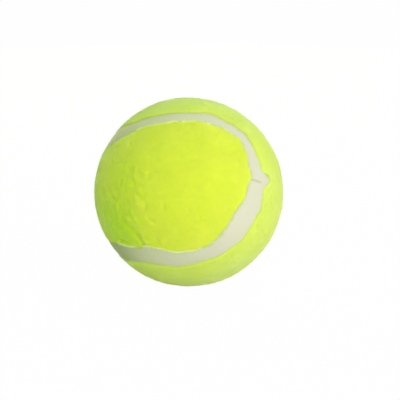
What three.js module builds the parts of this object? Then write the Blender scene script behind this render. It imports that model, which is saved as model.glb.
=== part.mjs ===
// Dog ball: a hollow rubber core of two cemented half shells, covered by two interlocking dumbbell
// panels of felt, with a strip of white rubber filling the seam that runs between the panels.
// Millimetres, +Z up, origin at the ball's centre.

import * as THREE from 'three';
import { mergeVertices } from 'three/addons/utils/BufferGeometryUtils.js';

const { degToRad, euclideanModulo, lerp, smoothstep } = THREE.MathUtils;

// Driving dimensions, from the outside in.
const ballRadius = 32.5;            // over the felt
const feltThickness = 2.8;
const cementThickness = 0.35;       // the coat of rubber cement under each panel
const layerClearance = 0.3;         // between one curved layer and the next
const coreWall = 3.4;
const rimChamfer = 0.5;             // on both edges of a half shell's rim
const jointThickness = 0.3;         // the cement between the two rims
const jointSetBack = 0.25;          // the cement stops this far inside the rims' flats

// The felt's cut edge.
const edgeDrop = 0.35;              // how far its outer corner is worn down
const edgeRoll = 1.5;               // how far in from the edge the wear reaches
const cementSetBack = 0.8;          // the coat stops this far inside the felt's edge

// The seam strip.
const stripHalfWidth = 2.8;         // where it runs true
const stripDrift = 0.5;             // the most it wanders there
const stripRecess = 0.25;           // its crown lies this far below the felt's face
const stripCrown = 0.15;            // its crown stands this far above its two top edges
const stripClearance = 0.3;         // between the strip's side and the felt's cut edge
const joinGap = 0.3;                // between the strip's two ends where they meet

// The seam's true line is four equal arcs, each round the middle of one lobe of a panel.
const lobeAngle = 101;              // degrees from a panel's waist to the middle of its lobes
const lobeCount = 4;
const joinLobe = 2;                 // the strip's ends meet at the far side of this lobe

// The cover's turn on the core, in degrees.
const coverTurn = { tilt: -115.4, roll: -75, turn: 37 };

// The strip was laid by hand, and strays on either side of its join. Each row is a place along the
// seam, in millimetres from the join, with the strip's reach there from the true line to the side
// of panel A and to the side of panel B.
const strayRows = [
  { along: -66, toA: 1.7, toB: 6.4 },
  { along: -62, toA: 1.5, toB: 5.9 },
  { along: -58, toA: 0.8, toB: 5.7 },
  { along: -55, toA: 1, toB: 5.4 },
  { along: -52.5, toA: 1.3, toB: 5.2 },
  { along: -50, toA: 1.9, toB: 5.2 },
  { along: -47, toA: 2.1, toB: 5.5 },
  { along: -44, toA: 1.7, toB: 5.1 },
  { along: -40, toA: 1.4, toB: 5 },
  { along: -37, toA: 1.8, toB: 4.1 },
  { along: -34, toA: 1.9, toB: 3.5 },
  { along: -31, toA: 2.4, toB: 3 },
  { along: -28, toA: 2.8, toB: 3.4 },
  { along: -25, toA: 3.5, toB: 3.5 },
  { along: -22, toA: 4.5, toB: 3.1 },
  { along: -19, toA: 4.8, toB: 3.7 },
  { along: -16, toA: 5.4, toB: 3.3 },
  { along: -13, toA: 5.5, toB: 3.2 },
  { along: -10, toA: 5.1, toB: 3.5 },
  { along: -8, toA: 4.3, toB: 4.4 },
  { along: -6, toA: 3.8, toB: 4 },
  { along: -4, toA: 3.6, toB: 3.9 },
  { along: -2, toA: 3.5, toB: 3.8 },
  { along: -1, toA: 3.1, toB: 5 },
  { along: -0.2, toA: 2.5, toB: 6.4 },
  { along: 0.6, toA: 2, toB: 7.4 },
  { along: 1.4, toA: 1.7, toB: 7.6 },
  { along: 2.2, toA: 1.6, toB: 6.7 },
  { along: 3, toA: 1.5, toB: 4.6 },
  { along: 4, toA: 1.5, toB: 3.5 },
  { along: 6, toA: 1.7, toB: 3.8 },
  { along: 8, toA: 1.1, toB: 3.8 },
  { along: 10, toA: 0.3, toB: 4 },
  { along: 12, toA: 0.1, toB: 4.3 },
  { along: 14.5, toA: -0.5, toB: 4.7 },
  { along: 16, toA: -1, toB: 5.1 },
  { along: 17.5, toA: 0.2, toB: 4.3 },
  { along: 20, toA: 0.7, toB: 3.8 },
  { along: 23, toA: 1.2, toB: 3.1 },
  { along: 26, toA: 2, toB: 3.2 },
  { along: 28, toA: 2.1, toB: 3.1 },
  { along: 31, toA: 2.4, toB: 1.9 },
  { along: 34, toA: 2.9, toB: 1.2 },
  { along: 37, toA: 3.2, toB: 1.2 },
  { along: 40, toA: 2.6, toB: 1.7 },
  { along: 43, toA: 2.6, toB: 2.1 },
  { along: 46, toA: 2.1, toB: 2.6 },
  { along: 49, toA: 1.5, toB: 3.2 },
  { along: 51, toA: 1.6, toB: 4 },
  { along: 53, toA: 2.5, toB: 2.7 },
  { along: 55, toA: 3, toB: 2.6 },
  { along: 58, toA: 3.4, toB: 3.9 },
  { along: 61, toA: 3.8, toB: 4.8 },
  { along: 65, toA: 4, toB: 4.2 },
];
const strayFade = 14;               // the strip comes true again over this length past the rows

// Fineness of the curved surfaces.
const joinSteps = { reach: 5, step: 0.6 };
const straySteps = { reach: 66, step: 1.6 };
const plainStep = 4.4;
const spansPerLobe = 20;
const faceRows = [0.28, 0.46, 0.64, 0.82];   // shares of the way from a panel's edge to its spine
const rollRows = [0, 0.35, 1];               // shares of the edge's roll
const coreSegments = 40;
const coreArcSteps = 10;

// Radii that follow from the layers.
const feltInner = ballRadius - feltThickness;
const cementOuter = feltInner - layerClearance;
const cementInner = cementOuter - cementThickness;
const coreOuter = cementInner - layerClearance;
const coreInner = coreOuter - coreWall;
const stripBottom = coreOuter + layerClearance;
const stripTop = ballRadius - stripRecess;

const felt = { color: 0xd8f03f, roughness: 0.95, metalness: 0 };
const seamRubber = { color: 0xe4e2d2, roughness: 0.55, metalness: 0 };
const coreRubber = { color: 0x4a4946, roughness: 0.8, metalness: 0 };
const cement = { color: 0xd3c9ae, roughness: 0.5, metalness: 0 };

// A lobe has its middle, the direction that points away from its panel's waist, the direction
// square to both, and the angles where its arc starts and ends. Even lobes belong to panel A, whose
// side is +1 and whose waist is at +Z. Odd lobes belong to panel B, whose side is -1.
function makeLobe(index) {
  const side = index % 2 === 0 ? 1 : -1;
  const azimuth = (index - 0.5) * Math.PI / 2;
  const outward = compass(azimuth);
  const middle = new THREE.Vector3(0, 0, side * Math.cos(lobePolar));
  middle.addScaledVector(outward, Math.sin(lobePolar));
  const away = new THREE.Vector3(0, 0, -side).projectOnPlane(middle).normalize();
  const across = middle.clone().cross(away);
  const angleOf = (corner) => Math.atan2(corner.dot(across), corner.dot(away));
  const start = angleOf(compass(azimuth - Math.PI / 4));
  const end = angleOf(compass(azimuth + Math.PI / 4));
  return { side, outward, middle, away, across, start, end };
}

// The level direction at an azimuth.
function compass(azimuth) {
  return new THREE.Vector3(Math.cos(azimuth), Math.sin(azimuth), 0);
}

const lobePolar = degToRad(lobeAngle);
const arcPolar = Math.acos(Math.sin(lobePolar) * Math.SQRT1_2);   // from a lobe's middle to its arc
const lobes = Array.from({ length: lobeCount }, (_, index) => makeLobe(index));
const arcLength = ballRadius * Math.sin(arcPolar) * Math.abs(lobes[0].end - lobes[0].start);
const seamLength = lobeCount * arcLength;

// The true line at a place along the seam: its lobe, its point on a unit ball, and the direction
// on the ball from there to panel A.
function seamFrame(along) {
  const arcs = euclideanModulo(along / arcLength + joinLobe + 0.5, lobeCount);
  const lobe = lobes[Math.floor(arcs)];
  const angle = lerp(lobe.start, lobe.end, arcs % 1);
  const spoke = lobe.away.clone().multiplyScalar(Math.cos(angle));
  spoke.addScaledVector(lobe.across, Math.sin(angle));
  const point = lobe.middle.clone().multiplyScalar(Math.cos(arcPolar));
  point.addScaledVector(spoke, Math.sin(arcPolar));
  const toMiddle = lobe.middle.clone().multiplyScalar(Math.sin(arcPolar));
  toMiddle.addScaledVector(spoke, -Math.cos(arcPolar));
  return { lobe, point, toA: toMiddle.multiplyScalar(lobe.side) };
}

// A point beside the seam: offset is measured over the felt, towards panel A.
function besideSeam(along, offset, radius) {
  const { point, toA } = seamFrame(along);
  const angle = offset / ballRadius;
  return point.multiplyScalar(Math.cos(angle)).addScaledVector(toA, Math.sin(angle))
    .multiplyScalar(radius);
}

const strayPlaces = strayRows.map((row) => row.along);
const strayReaches = strayRows.flatMap((row) => [row.toA, row.toB]);
const strays = new THREE.CubicInterpolant(strayPlaces, strayReaches, 2);
const strayStart = strayPlaces[0];
const strayEnd = strayPlaces[strayPlaces.length - 1];

// The strip's reach to either side: a slow drift about its true width, and near the join the rows.
function stripReach(along) {
  const turn = 2 * Math.PI * along / seamLength;
  const drift = stripDrift * (Math.sin(3 * turn) + Math.sin(7 * turn)) / 2;
  const swell = stripDrift * Math.cos(5 * turn) / 2;
  const [nearA, nearB] = strays.evaluate(THREE.MathUtils.clamp(along, strayStart, strayEnd));
  const beyond = along < 0 ? strayStart - along : along - strayEnd;
  const far = smoothstep(beyond, 0, strayFade);
  return {
    toA: lerp(nearA, stripHalfWidth + swell + drift, far),
    toB: lerp(nearB, stripHalfWidth + swell - drift, far),
  };
}

// How far a panel's felt stands back from the true line, kept square to the strip's side where
// that side runs aslant.
function feltSetBack(along, side) {
  const reach = (place) => side > 0 ? stripReach(place).toA : stripReach(place).toB;
  const nudge = 0.05;
  const slope = (reach(along + nudge) - reach(along - nudge)) / (2 * nudge);
  return reach(along) + stripClearance * Math.hypot(1, slope);
}

// The point of a panel's spine that a place on its edge faces: the lobe's middle all along the
// lobe's own arc, and a point that moves from lobe to lobe beside the waist.
function spinePoint(along, side) {
  const { lobe, point } = seamFrame(along);
  if (lobe.side === side) return lobe.middle.clone();
  const waist = new THREE.Vector3(0, 0, side);
  const outward = lobes[side > 0 ? 0 : 1].outward;
  const polar = Math.atan2(point.dot(outward), point.dot(waist)) * lobeAngle / 90;
  return waist.multiplyScalar(Math.cos(polar)).addScaledVector(outward, Math.sin(polar));
}

// The point a share of the way over the ball from one direction to another.
function partWay(from, to, share, radius) {
  const angle = from.angleTo(to);
  const point = from.clone().multiplyScalar(Math.sin((1 - share) * angle));
  point.addScaledVector(to, Math.sin(share * angle)).divideScalar(Math.sin(angle));
  return point.multiplyScalar(radius);
}

// Places along half of the seam, close together at the join and where the strip strays.
function halfPlaces() {
  const places = [joinGap / 2];
  const last = () => places[places.length - 1];
  while (last() < seamLength / 2 - plainStep) {
    const near = last() < straySteps.reach ? straySteps.step : plainStep;
    places.push(last() + (last() < joinSteps.reach ? joinSteps.step : near));
  }
  places.push(seamLength / 2);
  return places;
}

const forward = halfPlaces();
const stripPlaces = [...forward.map((place) => -place).reverse(), ...forward];
const edgePlaces = stripPlaces.filter((place) => Math.abs(place) > joinGap / 2).slice(0, -1);
const facePlaces = Array.from({ length: lobeCount * spansPerLobe },
  (_, index) => index * arcLength / spansPerLobe - seamLength / 2);

// A closed solid from rings of points. Each ring is joined to the next by stepping along whichever
// of the two lags behind, so rings of different fineness meet without a gap.
function solidFromRings(rings, turnedOver = false) {
  const points = rings.flatMap((ring) => ring.points);
  const corners = [];
  let first = 0;
  for (let index = 0; index + 1 < rings.length; index += 1) {
    const [a, b] = [rings[index], rings[index + 1]];
    const second = first + a.points.length;
    corners.push(...ringTriangles(a.places, b.places, first, second));
    first = second;
  }
  if (turnedOver) corners.reverse();
  const geometry = new THREE.BufferGeometry().setFromPoints(points);
  geometry.setIndex(corners);
  return closed(geometry);
}

function ringTriangles(placesA, placesB, firstA, firstB) {
  const corners = [];
  const next = (places, step) => step + 1 < places.length ? places[step + 1] : Infinity;
  let a = 0;
  let b = 0;
  while (a < placesA.length || b < placesB.length) {
    const atA = firstA + a % placesA.length;
    const atB = firstB + b % placesB.length;
    const stepA = b === placesB.length
      || (a < placesA.length && next(placesA, a) < next(placesB, b));
    if (stepA) {
      a += 1;
      corners.push(atA, atB, firstA + a % placesA.length);
    } else {
      b += 1;
      corners.push(atA, atB, firstB + b % placesB.length);
    }
  }
  return corners;
}

// Merges the points that coincide and drops the triangles that this leaves without an area.
function closed(geometry) {
  geometry.deleteAttribute('normal');
  geometry.deleteAttribute('uv');
  const merged = mergeVertices(geometry);
  const index = Array.from(merged.index.array);
  const kept = [];
  for (let at = 0; at < index.length; at += 3) {
    const [p, q, r] = index.slice(at, at + 3);
    if (p !== q && q !== r && r !== p) kept.push(p, q, r);
  }
  merged.setIndex(kept);
  merged.computeVertexNormals();
  return merged;
}

// A dumbbell sheet over one panel. Its outer face runs from the spine to the edge, turns over the
// edge's roll and down the cut, and its inner face runs back to the spine. The ring at the spine is
// flat: its two sides coincide.
function dumbbell(side, setBack, outerRadius, innerRadius, roll, drop) {
  const edgePoint = (along, inset, radius) =>
    besideSeam(along, side * (setBack + feltSetBack(along, side) + inset), radius);
  const faceRing = (share, radius) => ({
    places: facePlaces,
    points: facePlaces.map((along) =>
      partWay(edgePoint(along, 0, 1), spinePoint(along, side), share, radius)),
  });
  const edgeRing = (inset, radius) => ({
    places: edgePlaces,
    points: edgePlaces.map((along) => edgePoint(along, inset, radius)),
  });
  const rolledRing = (share) => edgeRing(roll * share, outerRadius - drop * (1 - share) ** 2);
  const shares = [...faceRows, 1];
  const rings = [
    ...shares.map((share) => faceRing(share, outerRadius)).reverse(),
    ...(roll > 0 ? rollRows.map(rolledRing).reverse() : [rolledRing(1)]),
    edgeRing(0, innerRadius),
    ...shares.map((share) => faceRing(share, innerRadius)),
  ];
  return solidFromRings(rings, side < 0);
}

function feltPanel(side) {
  return dumbbell(side, 0, ballRadius, feltInner, edgeRoll, edgeDrop);
}

function coverCement(side) {
  return dumbbell(side, cementSetBack, cementOuter, cementInner, 0, 0);
}

// The strip: a section of six points carried along the seam, closed at both ends of the join.
function seamStrip() {
  const sections = stripPlaces.map((along) => {
    const { toA, toB } = stripReach(along);
    const middle = (toA - toB) / 2;
    return [
      besideSeam(along, -toB, stripTop - stripCrown),
      besideSeam(along, middle, stripTop),
      besideSeam(along, toA, stripTop - stripCrown),
      besideSeam(along, toA, stripBottom),
      besideSeam(along, middle, stripBottom),
      besideSeam(along, -toB, stripBottom),
    ];
  });
  const cap = (section) => {
    const centre = section[1].clone().add(section[4]).multiplyScalar(0.5);
    return section.map(() => centre);
  };
  const last = sections[sections.length - 1];
  const rings = [cap(sections[0]), ...sections, cap(last)];
  return solidFromRings(rings.map((points) => ({ points, places: points.map((_, at) => at) })));
}

// Half of the core, above the joint: an outer arc, a chamfered rim, and an inner arc.
function coreHalf() {
  const rim = jointThickness / 2;
  const arc = (radius) => {
    const sweep = Math.acos((rim + rimChamfer) / radius);
    return Array.from({ length: coreArcSteps + 1 }, (_, step) => {
      const angle = sweep * step / coreArcSteps;
      return new THREE.Vector2(radius * Math.sin(angle), radius * Math.cos(angle));
    });
  };
  const profile = [
    ...arc(coreInner),
    new THREE.Vector2(coreInner + rimChamfer, rim),
    new THREE.Vector2(coreOuter - rimChamfer, rim),
    ...arc(coreOuter).reverse(),
  ];
  return revolved(profile);
}

// The flat ring of cement that joins the two rims.
function coreJoint() {
  const inner = coreInner + rimChamfer + jointSetBack;
  const outer = coreOuter - rimChamfer - jointSetBack;
  const rim = jointThickness / 2;
  const profile = [[inner, -rim], [outer, -rim], [outer, rim], [inner, rim], [inner, -rim]];
  return revolved(profile.map(([across, up]) => new THREE.Vector2(across, up)));
}

// A profile of distances from the axis and heights, turned round the vertical axis.
function revolved(profile) {
  return closed(new THREE.LatheGeometry(profile, coreSegments).rotateX(Math.PI / 2));
}

function part(name, geometry, finish) {
  const mesh = new THREE.Mesh(geometry, new THREE.MeshStandardMaterial(finish));
  mesh.name = name;
  return mesh;
}

const core = new THREE.Group();
const lowerHalf = part('core_half_lower', coreHalf(), coreRubber);
lowerHalf.rotation.x = Math.PI;
core.add(
  lowerHalf,
  part('core_half_upper', coreHalf(), coreRubber),
  part('core_joint_cement', coreJoint(), cement),
);

const cover = new THREE.Group();
cover.rotation.set(
  degToRad(coverTurn.tilt), degToRad(coverTurn.roll), degToRad(coverTurn.turn), 'XYZ');
cover.add(
  part('cover_cement_a', coverCement(1), cement),
  part('cover_cement_b', coverCement(-1), cement),
  part('felt_panel_a', feltPanel(1), felt),
  part('felt_panel_b', feltPanel(-1), felt),
  part('seam_strip', seamStrip(), seamRubber),
);

const ball = new THREE.Group();
ball.add(core, cover);

export default ball;
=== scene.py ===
"""Dog ball: felt panels, their nap, the seam strip and the finishes, built round the packed ball.

Lengths are metres in the settings and in the meshes, and millimetres in the shape functions. The
cover is worked out in its own frame, with the waist of panel A up, and then turned on the core.
"""

import math

import bpy
import numpy as np
from bpy.props import FloatProperty, FloatVectorProperty, IntProperty, PointerProperty
from mathutils import Matrix, Vector


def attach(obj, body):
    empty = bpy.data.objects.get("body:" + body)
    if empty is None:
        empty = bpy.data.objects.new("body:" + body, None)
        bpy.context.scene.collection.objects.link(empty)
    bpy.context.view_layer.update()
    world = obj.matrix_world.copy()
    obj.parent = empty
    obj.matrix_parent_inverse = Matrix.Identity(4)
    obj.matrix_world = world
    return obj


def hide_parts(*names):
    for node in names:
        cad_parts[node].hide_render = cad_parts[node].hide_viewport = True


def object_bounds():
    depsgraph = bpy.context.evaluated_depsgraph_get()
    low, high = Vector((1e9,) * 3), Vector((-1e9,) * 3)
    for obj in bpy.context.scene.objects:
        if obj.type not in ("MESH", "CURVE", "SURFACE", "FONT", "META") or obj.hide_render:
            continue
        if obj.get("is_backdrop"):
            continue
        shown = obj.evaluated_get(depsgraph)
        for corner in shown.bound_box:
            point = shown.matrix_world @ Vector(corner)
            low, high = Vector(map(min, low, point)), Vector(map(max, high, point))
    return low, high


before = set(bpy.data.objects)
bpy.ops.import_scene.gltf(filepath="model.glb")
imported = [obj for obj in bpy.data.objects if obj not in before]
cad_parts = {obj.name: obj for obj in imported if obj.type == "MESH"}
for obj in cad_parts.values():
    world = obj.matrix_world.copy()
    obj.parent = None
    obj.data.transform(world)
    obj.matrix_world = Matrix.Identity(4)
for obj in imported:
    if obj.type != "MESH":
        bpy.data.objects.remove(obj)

bl_info = {
    "name": "Dog Ball",
    "version": (1, 0, 0),
    "blender": (4, 5, 0),
    "location": "View3D > Sidebar > Dog Ball",
    "description": "Felt-covered dog ball with a rubber seam, built round its packed parts",
    "category": "Add Mesh",
}

MM = 0.001
# The photograph's width and height in pixels, and the camera's sensor in millimetres.
PHOTO_PIXELS = 400
SENSOR = 36.0

# The angle at the ball's centre from a panel's waist to the middle of each of its lobes.
LOBE_ANGLE = math.radians(101)
# The lobe in the middle of whose arc the strip's two ends meet.
JOIN_LOBE = 2
# The cover's turns on the core about X, Y and Z. The turn about Z comes first.
COVER_TURN = tuple(math.radians(angle) for angle in (-115.4, -75, 37))
# The panels, and the side of the seam that each lies on.
PANELS = {"a": 1, "b": -1}

# The azimuth and height of each lamp in degrees, and its width in metres.
KEY_PLACE = (33, 8)
LAMPS = {"key": (KEY_PLACE, 2.0), "side": ((105, 0), 1.2), "back": ((200, 25), 1.2)}
# How far the lamps stand from the ball and the floor reaches, in metres, and the floor's own grey.
LAMP_DISTANCE = 0.9
FLOOR_REACH = 4.0
FLOOR_COLOUR = (0.85, 0.85, 0.85)

# The strip strays beside its join. Millimetres along the seam from the join, and the strip's reach
# there from the true line towards panel A and towards panel B.
STRAY_ROWS = (
    (-66, 1.7, 6.4), (-62, 1.5, 5.9), (-58, 0.8, 5.7), (-55, 1, 5.4),
    (-52.5, 1.3, 5.2), (-50, 1.9, 5.2), (-47, 2.1, 5.5), (-44, 1.7, 5.1),
    (-40, 1.4, 5), (-37, 1.8, 4.1), (-34, 1.9, 3.5), (-31, 2.4, 3),
    (-28, 2.8, 3.4), (-25, 3.5, 3.5), (-22, 4.5, 3.1), (-19, 4.8, 3.7),
    (-16, 5.4, 3.3), (-13, 5.5, 3.2), (-10, 5.1, 3.5), (-8, 4.3, 4.4),
    (-6, 3.8, 4), (-4, 3.6, 3.9), (-2, 3.5, 3.8), (-1, 3.1, 5),
    (-0.2, 2.5, 6.4), (0.6, 2, 7.4), (1.4, 1.7, 7.6), (2.2, 1.6, 6.7),
    (3, 1.5, 4.6), (4, 1.5, 3.5), (6, 1.7, 3.8), (8, 1.1, 3.8),
    (10, 0.3, 4), (12, 0.1, 4.3), (14.5, -0.5, 4.7), (16, -1, 5.1),
    (17.5, 0.2, 4.3), (20, 0.7, 3.8), (23, 1.2, 3.1), (26, 2, 3.2),
    (28, 2.1, 3.1), (31, 2.4, 1.9), (34, 2.9, 1.2), (37, 3.2, 1.2),
    (40, 2.6, 1.7), (43, 2.6, 2.1), (46, 2.1, 2.5), (49, 1.6, 2.8),
    (51, 1.7, 2.9), (53, 2.3, 2.7), (55, 2.7, 2.6), (58, 3.1, 3.1),
    (61, 3.5, 3.8), (65, 3.8, 4),
)
# The stretch before the first row and after the last over which the strip comes to run true.
STRAY_FADE = 14.0
# The places along the seam between which the guessed wear of the far side sets in.
FAR_SIDE = (62, 68)

# Stretches of panel A's cut edge, by places along the seam, where its pale fibres show, with a
# painted highlight on the curled lip.
FRAYED = ((-63, -54.6), (-51.6, -31), (20.2, 21.4), (26.4, 27.6), (31.5, 36.5), (38, 52))

# Where the strip is painted towards its dust colour: the place along the seam, its reach both ways,
# and its share there. The rows at -67 and 64, on the ball's shaded left side, are painted shade.
STRIP_DARKENING = ((-67, 11.5, 1.0), (64, 11, 0.6), (2, 14, 0.15))

# Azimuth and height, in degrees, of the middle of the pilled and of the smooth part, and the
# distances from there, in millimetres, between which each ends.
PILLED, PILLED_END = (-48, 8), (8, 22)
SMOOTH, SMOOTH_END = (22, 12), (18, 30)

# The parts painted greener and darker, as painted shade on the shaded left side: azimuth and height
# of the middle, radius in millimetres, and strength.
PAINTED_SHADE_PATCHES = ((-49, -13, 16, 1.0), (-45, 12, 15, 0.4), (-64, -8, 13, 0.6))

# Dents, folds and pulled tufts in the felt. Each runs from one azimuth and height to another, in
# degrees, with azimuth 0 at the photographed side and turning right. Then come its half width and
# its rise in millimetres, where a dent's rise is negative.
FELT_MARKS = (
    (-53.3, 44.8, -50.7, 42.9, 0.55, 0.12), (-49.2, 38.1, -48.6, 37.5, 0.35, -0.12),
    (-47.4, 39.3, -47.4, 39.3, 0.3, -0.08), (-46.3, 37.4, -46.3, 37.4, 0.4, 0.08),
    (-62.6, 33.0, -62.2, 32.7, 0.4, -0.14), (-66.5, 33.1, -66.5, 33.1, 0.4, 0.08),
    (-59.7, 25.0, -56.6, 23.6, 0.45, -0.12), (-55.7, 25.0, -54.8, 25.4, 0.6, 0.1),
    (-35.4, 23.4, -33.6, 16.6, 0.55, 0.1), (-34.4, 15.4, -34.2, 14.2, 0.4, -0.08),
    (-30.5, 22.1, -27.2, 21.5, 0.55, 0.1), (-25.6, 20.2, -24.7, 19.1, 0.6, -0.09),
    (-47.1, 13.7, -46.8, 12.6, 0.4, 0.08), (-45.1, 14.6, -44.8, 11.7, 0.4, -0.09),
    (-39.0, 15.4, -38.5, 13.2, 0.5, 0.09), (-30.9, 10.6, -29.5, 10.8, 0.5, 0.08),
    (-53.7, 8.0, -50.2, 4.6, 0.5, -0.14), (-51.3, 9.0, -48.4, 6.0, 0.5, 0.08),
    (-46.3, 1.7, -46.3, 0.5, 0.5, 0.12), (-44.1, 0.0, -44.1, -0.3, 0.45, -0.1),
    (-32.3, 7.1, -30.0, 2.8, 0.5, 0.07), (-35.2, -1.4, -32.4, -6.3, 0.55, 0.09),
    (-38.5, -6.0, -37.8, -6.5, 0.5, 0.08), (-23.4, -4.7, -21.0, -5.9, 0.5, -0.1),
    (-22.9, -7.6, -21.7, -7.5, 0.6, 0.06), (-25.5, 3.8, -25.5, 2.1, 0.5, -0.07),
    (-14.3, 4.6, -14.3, 2.4, 0.5, -0.05), (-41.2, -8.2, -35.7, -12.3, 0.8, -0.1),
    (-35.7, -12.3, -31.5, -16.8, 0.7, -0.09), (-31.5, -16.8, -29.7, -21.3, 0.55, -0.11),
    (-28.8, -15.8, -27.7, -18.9, 0.5, 0.09), (-49.5, -22.4, -48.4, -22.1, 0.3, -0.3),
    (-46.3, -22.1, -42.1, -22.8, 0.3, -0.2), (-20.2, -17.4, -19.8, -19.4, 0.7, -0.08),
    (-16.9, -16.5, -17.1, -18.5, 0.6, 0.05), (-11.4, -16.8, -11.5, -18.1, 0.9, -0.05),
    (-27.4, 36.9, -26.7, 35.0, 0.9, -0.05), (-31.1, 49.9, -23.8, 49.6, 0.4, -0.05),
    (-6.1, 47.2, -3.6, 47.3, 0.5, -0.05), (42.8, 75.3, 42.8, 75.3, 1.0, 0.18),
)
# How much wider than its row says each mark is made.
MARK_WIDENING = 1.45

# Random clouds: the size of each one's cubes in millimetres, and its seed.
CLOUDS = {
    "felt swell": (9.0, 1), "small swell": (4.5, 2), "pilling": (8.0, 3), "lumps": (1.9, 4),
    "small lumps": (1.0, 5), "felt grain": (0.55, 6), "edge wander": (2.6, 11),
    "small edge wander": (1.1, 21), "nap swirl": (7.0, 31), "strip swell": (3.2, 41),
    "strip grain": (0.9, 42), "fraying": (6.0, 51), "strip dust": (9.0, 61),
    "green border": (4.0, 71), "uneven sheen": (11.0, 72),
}
# Cubes along each side of the block of random numbers, and from the block's start to the origin.
CLOUD_BLOCK = 32
CLOUD_START = 500

# Rings of a felt panel: how far the face reaches from the rolled edge to the spine at most, in
# millimetres, and the numbers of rings round the lip and over the inner face.
FACE_REACH = 26
LIP_RINGS = 10
INNER_RINGS = 15
# The rings down the cut: the share of the lip that each still swells by, its depth below the
# widest ring in millimetres, and its spacing in felt steps.
CUT_RINGS = ((0.75, 0.22, 1.2), (0.3, 0.42, 1.4), (0, 0.7, 1.6))

# The strip's rows: the gap between its ends and the stretch beside it with closer rows, in
# millimetres, the number of rows in that stretch, and the number of points across the crown.
JOIN_GAP = 0.04
CLOSE_STRETCH = 4
CLOSE_ROWS = 36
CROWN_POINTS = 41

# The kinds of fibre. A kind's row gives the rises of its four points in arches, except that a
# hair's are scaled to bring its end to its full rise. Its length is a share of a matted fibre's.
MATTED, HAIR, FRINGE = range(3)
FIBRE_RISES = np.array([
    (-0.04, 1.0, 1.0, -0.04),
    (-0.04, 0.5, 1.4, 2.8),
    (-0.04, 0.5, 0.5, 0.3),
])
FIBRE_LENGTHS = np.array([1.0, 0.7, 0.5])
# How far in from the cut the mat starts, and how far in a fringe fibre may start, in millimetres.
MAT_INSET = 0.1
FRINGE_INSET = 0.9
# How high fibres lie over the strip, and how far below its crown they may dip, in millimetres.
STRIP_LIFT = 0.03
DEEPEST_DIP = 0.4

# The dry, dusty way in which felt and its fibres give back light.
FELT_SHEEN = {
    "Roughness": 0.95, "Diffuse Roughness": 0.5, "Specular IOR Level": 0.05,
    "Sheen Weight": 0.85, "Sheen Roughness": 0.5, "Sheen Tint": (0.75, 0.77, 0.8, 1.0),
}


def reach_of(node):
    """The farthest point of a packed node from the ball's centre, in metres."""
    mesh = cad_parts[node].data
    points = np.empty(len(mesh.vertices) * 3, np.float32)
    mesh.vertices.foreach_get("co", points)
    return round(float(np.linalg.norm(points.reshape(-1, 3), axis=1).max()), 5)


def length_setting(name, description, default, least=0.0, most=0.1):
    """A length in metres, shown in the scene's own unit."""
    return FloatProperty(
        name=name, description=description, default=default, min=least, max=most, precision=5,
        subtype="DISTANCE", unit="LENGTH",
    )


def colour_setting(name, description, default):
    """A colour, as the shares of red, green and blue light that the surface gives back."""
    return FloatVectorProperty(
        name=name, description=description, default=default, size=3, min=0, max=1, subtype="COLOR",
    )


def count_setting(name, description, default):
    """A whole number."""
    return IntProperty(name=name, description=description, default=default, min=0, max=200000)


def share_setting(name, description, default, most=4.0):
    """A plain number, such as a strength."""
    return FloatProperty(name=name, description=description, default=default, min=0, max=most)


class CoverSizes(bpy.types.PropertyGroup):
    """Sizes of the felt and of the seam strip."""

    ball_radius: length_setting("Ball Radius", "Over the felt", reach_of("felt_panel_a"))
    felt_thickness: length_setting("Felt Thickness", "With its nap", 2.8 * MM)
    edge_roll: length_setting("Edge Roll", "How far in from the cut the edge is worn", 1.2 * MM)
    edge_depth: length_setting("Edge Depth", "Depth below the face where it swells", 0.27 * MM)
    edge_lip: length_setting("Edge Lip", "How far the cut edge swells over the strip", 0.25 * MM)
    lip_rise: length_setting("Lip Rise", "How far a frayed edge curls up", 0.3 * MM)
    edge_wander: length_setting("Edge Wander", "How far the cut wanders from its line", 0.12 * MM)
    lump_height: length_setting("Lump Height", "The felt's small lumps", 0.13 * MM)
    swell_height: length_setting("Swell Height", "The felt's broad unevenness", 0.12 * MM)
    mark_scale: share_setting("Mark Scale", "How strongly the dents and tufts stand out", 2.8)
    strip_half_width: length_setting("Strip Half Width", "Where the strip runs true", 2.8 * MM)
    strip_drift: length_setting("Strip Drift", "The most that it wanders there", 0.5 * MM)
    strip_recess: length_setting("Strip Recess", "Depth of its crown below the felt", 0.11 * MM)
    strip_crown: length_setting("Strip Crown", "Height of its crown above its edges", 0.1 * MM)
    strip_depth: length_setting("Strip Depth", "From its crown to the core", 3.2 * MM)
    strip_clearance: length_setting("Strip Clearance", "Between the strip and the felt", 0.3 * MM)
    join_crease: length_setting("Join Crease", "Depth of the crease at its join", 0.12 * MM)
    join_bulge: length_setting("Join Bulge", "Height of the swelling at its join", 0.15 * MM)
    join_slant: share_setting("Join Slant", "How far the join leans, over the strip's width", 0.2)
    felt_step: length_setting("Felt Step", "Spacing of the felt's points", 0.34 * MM, 0.1 * MM)
    strip_step: length_setting("Strip Step", "Spacing of the strip's points", 0.35 * MM, 0.1 * MM)


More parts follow.
